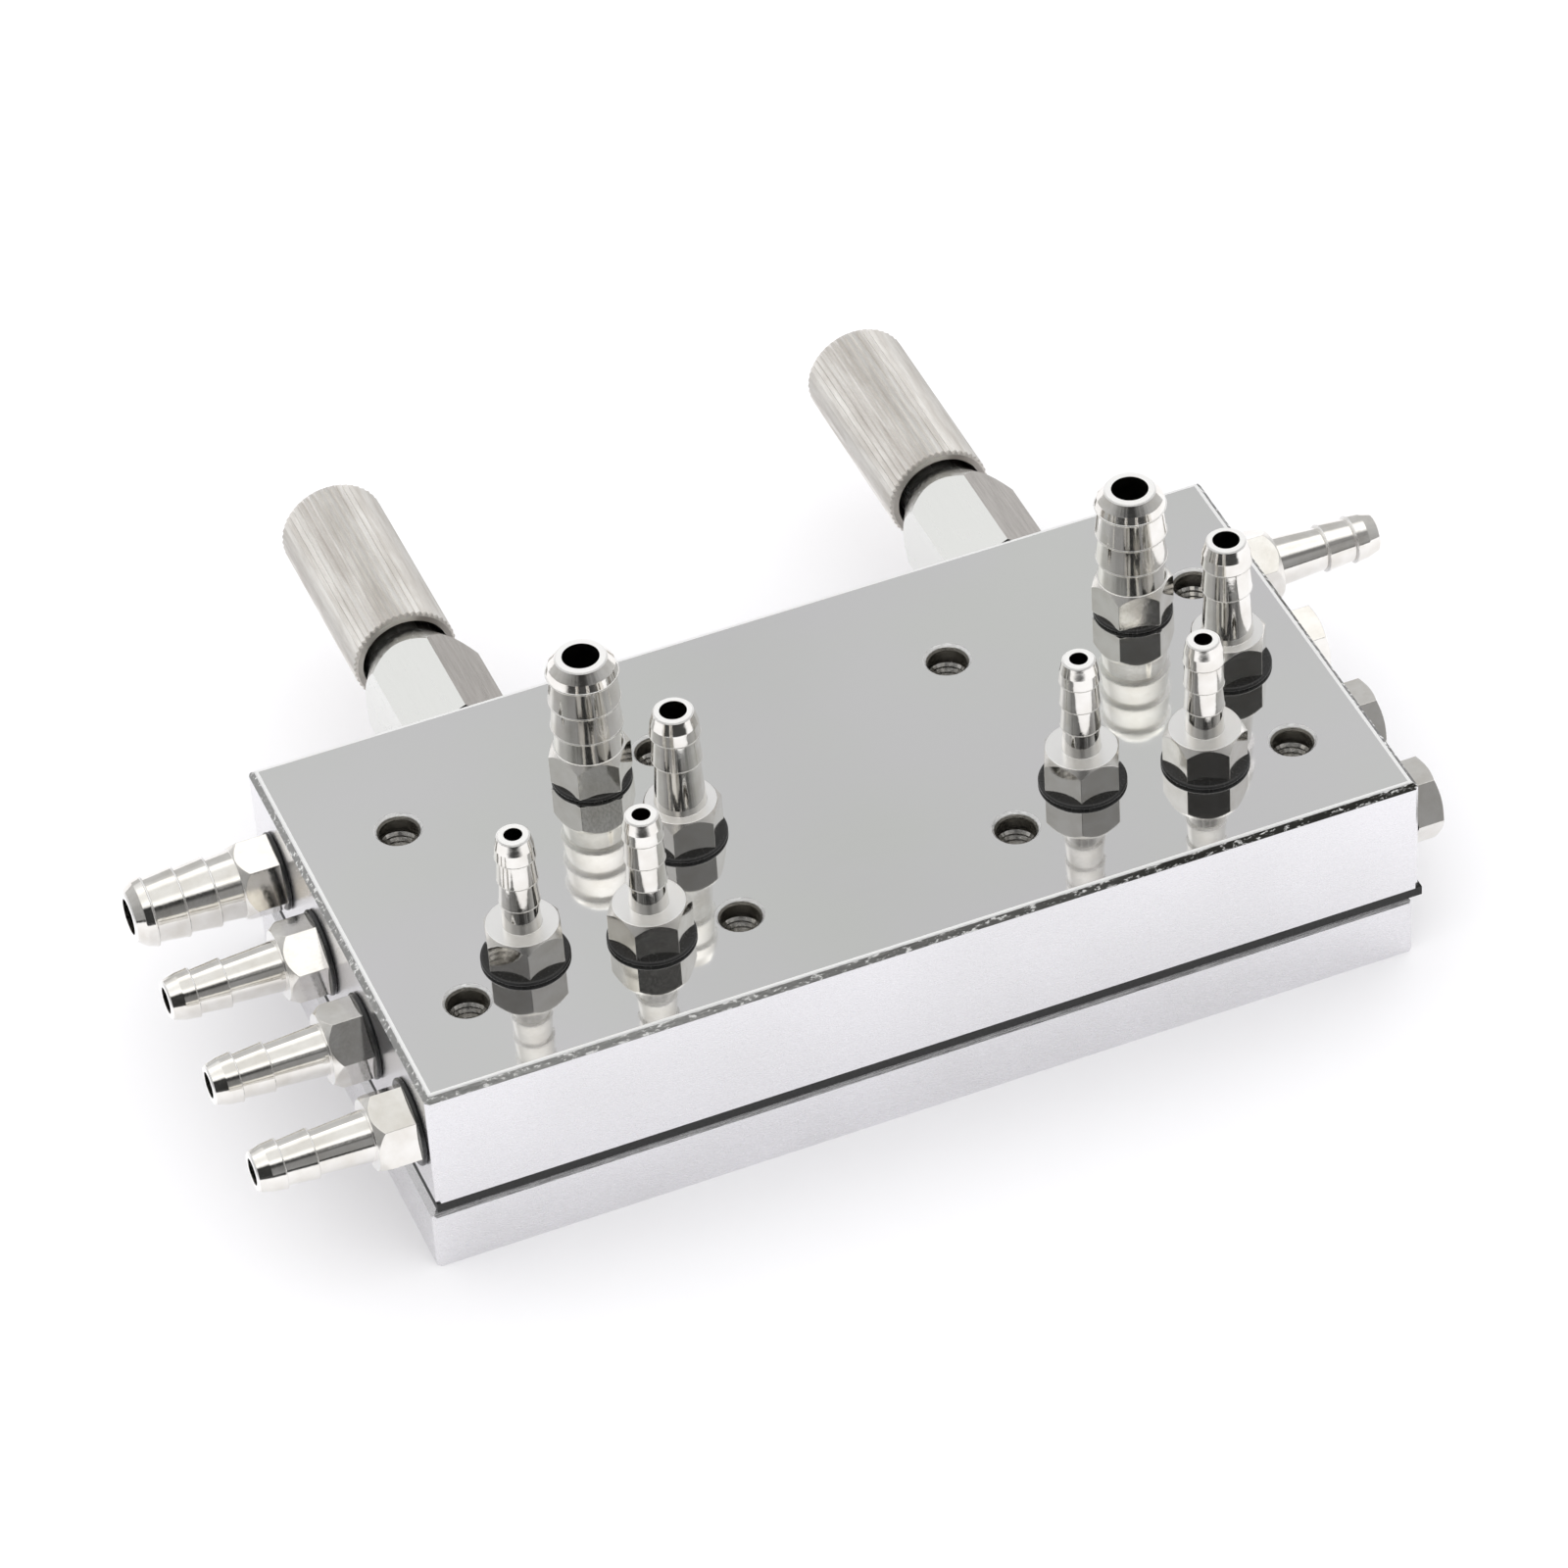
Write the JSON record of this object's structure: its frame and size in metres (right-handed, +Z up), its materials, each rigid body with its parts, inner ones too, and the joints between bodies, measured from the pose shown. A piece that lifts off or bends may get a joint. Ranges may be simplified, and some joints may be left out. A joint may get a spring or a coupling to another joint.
{
  "type": "diaphragm valve",
  "caption": "Twin diaphragm valve block with hose barbs, a rubber sheet between a metal block and plate, and knurled needle valves.",
  "frame": {"origin": "on the base face, under the middle of the upper block", "axes": "+X along the block towards the end with one hose tail, +Y towards the needle valves, +Z up"},
  "size_m": [0.1312, 0.0898, 0.0369],
  "materials": {
    "polished_block": "bright nickel-chrome plate, polished top",
    "plated_plate": "bright nickel-chrome plate, ground edges",
    "fitting_nickel": "bright nickel plate, turned",
    "gland_nickel": "nickel plate on hexagon bar",
    "satin_knob": "satin nickel, knurled",
    "stem_steel": "turned stainless steel",
    "screw_steel": "plain steel",
    "sheet_rubber": "matt black sheet",
    "seal_rubber": "matt black"
  },
  "bodies": {
    "valve_block": {"chip_air_barb_left": "fitting_nickel", "chip_air_barb_right": "fitting_nickel", "chip_air_barb_seal_left": "seal_rubber", "chip_air_barb_seal_right": "seal_rubber", "chip_air_inlet_barb": "fitting_nickel", "chip_air_inlet_barb_seal": "seal_rubber", "chip_air_plug": "fitting_nickel", "chip_air_plug_seal": "seal_rubber", "clamp_screws": "screw_steel", "diaphragm_sheet": "sheet_rubber", "drive_air_barb_left": "fitting_nickel", "drive_air_barb_right": "fitting_nickel", "drive_air_barb_seal_left": "seal_rubber", "drive_air_barb_seal_right": "seal_rubber", "drive_air_inlet_barb": "fitting_nickel", "drive_air_inlet_barb_seal": "seal_rubber", "drive_air_link_barb": "fitting_nickel", "drive_air_link_barb_seal": "seal_rubber", "lower_plate": "plated_plate", "needle_gland_left": "gland_nickel", "needle_gland_right": "gland_nickel", "needle_gland_seal_left": "seal_rubber", "needle_gland_seal_right": "seal_rubber", "pilot_air_inlet_barb": "fitting_nickel", "pilot_air_inlet_barb_seal": "seal_rubber", "pilot_air_plug": "fitting_nickel", "pilot_air_plug_seal": "seal_rubber", "pilot_barb_left": "fitting_nickel", "pilot_barb_right": "fitting_nickel", "pilot_barb_seal_left": "seal_rubber", "pilot_barb_seal_right": "seal_rubber", "upper_block": "polished_block", "water_barb_left": "fitting_nickel", "water_barb_right": "fitting_nickel", "water_barb_seal_left": "seal_rubber", "water_barb_seal_right": "seal_rubber", "water_inlet_barb": "fitting_nickel", "water_inlet_barb_seal": "seal_rubber", "water_plug": "fitting_nickel", "water_plug_seal": "seal_rubber"},
    "left_stem_seal": {"stem_seal_left": "seal_rubber"},
    "left_flow_valve": {"flow_knob_left": "satin_knob", "needle_stem_left": "stem_steel"},
    "right_stem_seal": {"stem_seal_right": "seal_rubber"},
    "right_flow_valve": {"flow_knob_right": "satin_knob", "needle_stem_right": "stem_steel"}
  },
  "joints": [
    {"name": "left_knob_travel", "type": "slide", "parent": "valve_block", "child": "left_stem_seal", "axis": [0, 1, 0], "range_m": [-0.00105, 0.0021]},
    {"name": "left_knob_turn", "type": "hinge", "parent": "left_stem_seal", "child": "left_flow_valve", "pos_m": [-0.0284, 0.042, 0.0143], "axis": [0, 1, 0], "range_deg": [-540, 1080]},
    {"name": "right_knob_travel", "type": "slide", "parent": "valve_block", "child": "right_stem_seal", "axis": [0, 1, 0], "range_m": [-0.00105, 0.0021]},
    {"name": "right_knob_turn", "type": "hinge", "parent": "right_stem_seal", "child": "right_flow_valve", "pos_m": [0.0289, 0.042, 0.0143], "axis": [0, 1, 0], "range_deg": [-540, 1080]}
  ],
  "couplings": [
    {"joint": "left_knob_travel", "follows": "left_knob_turn", "m_per_rad": 0.00011141},
    {"joint": "right_knob_travel", "follows": "right_knob_turn", "m_per_rad": 0.00011141}
  ]
}
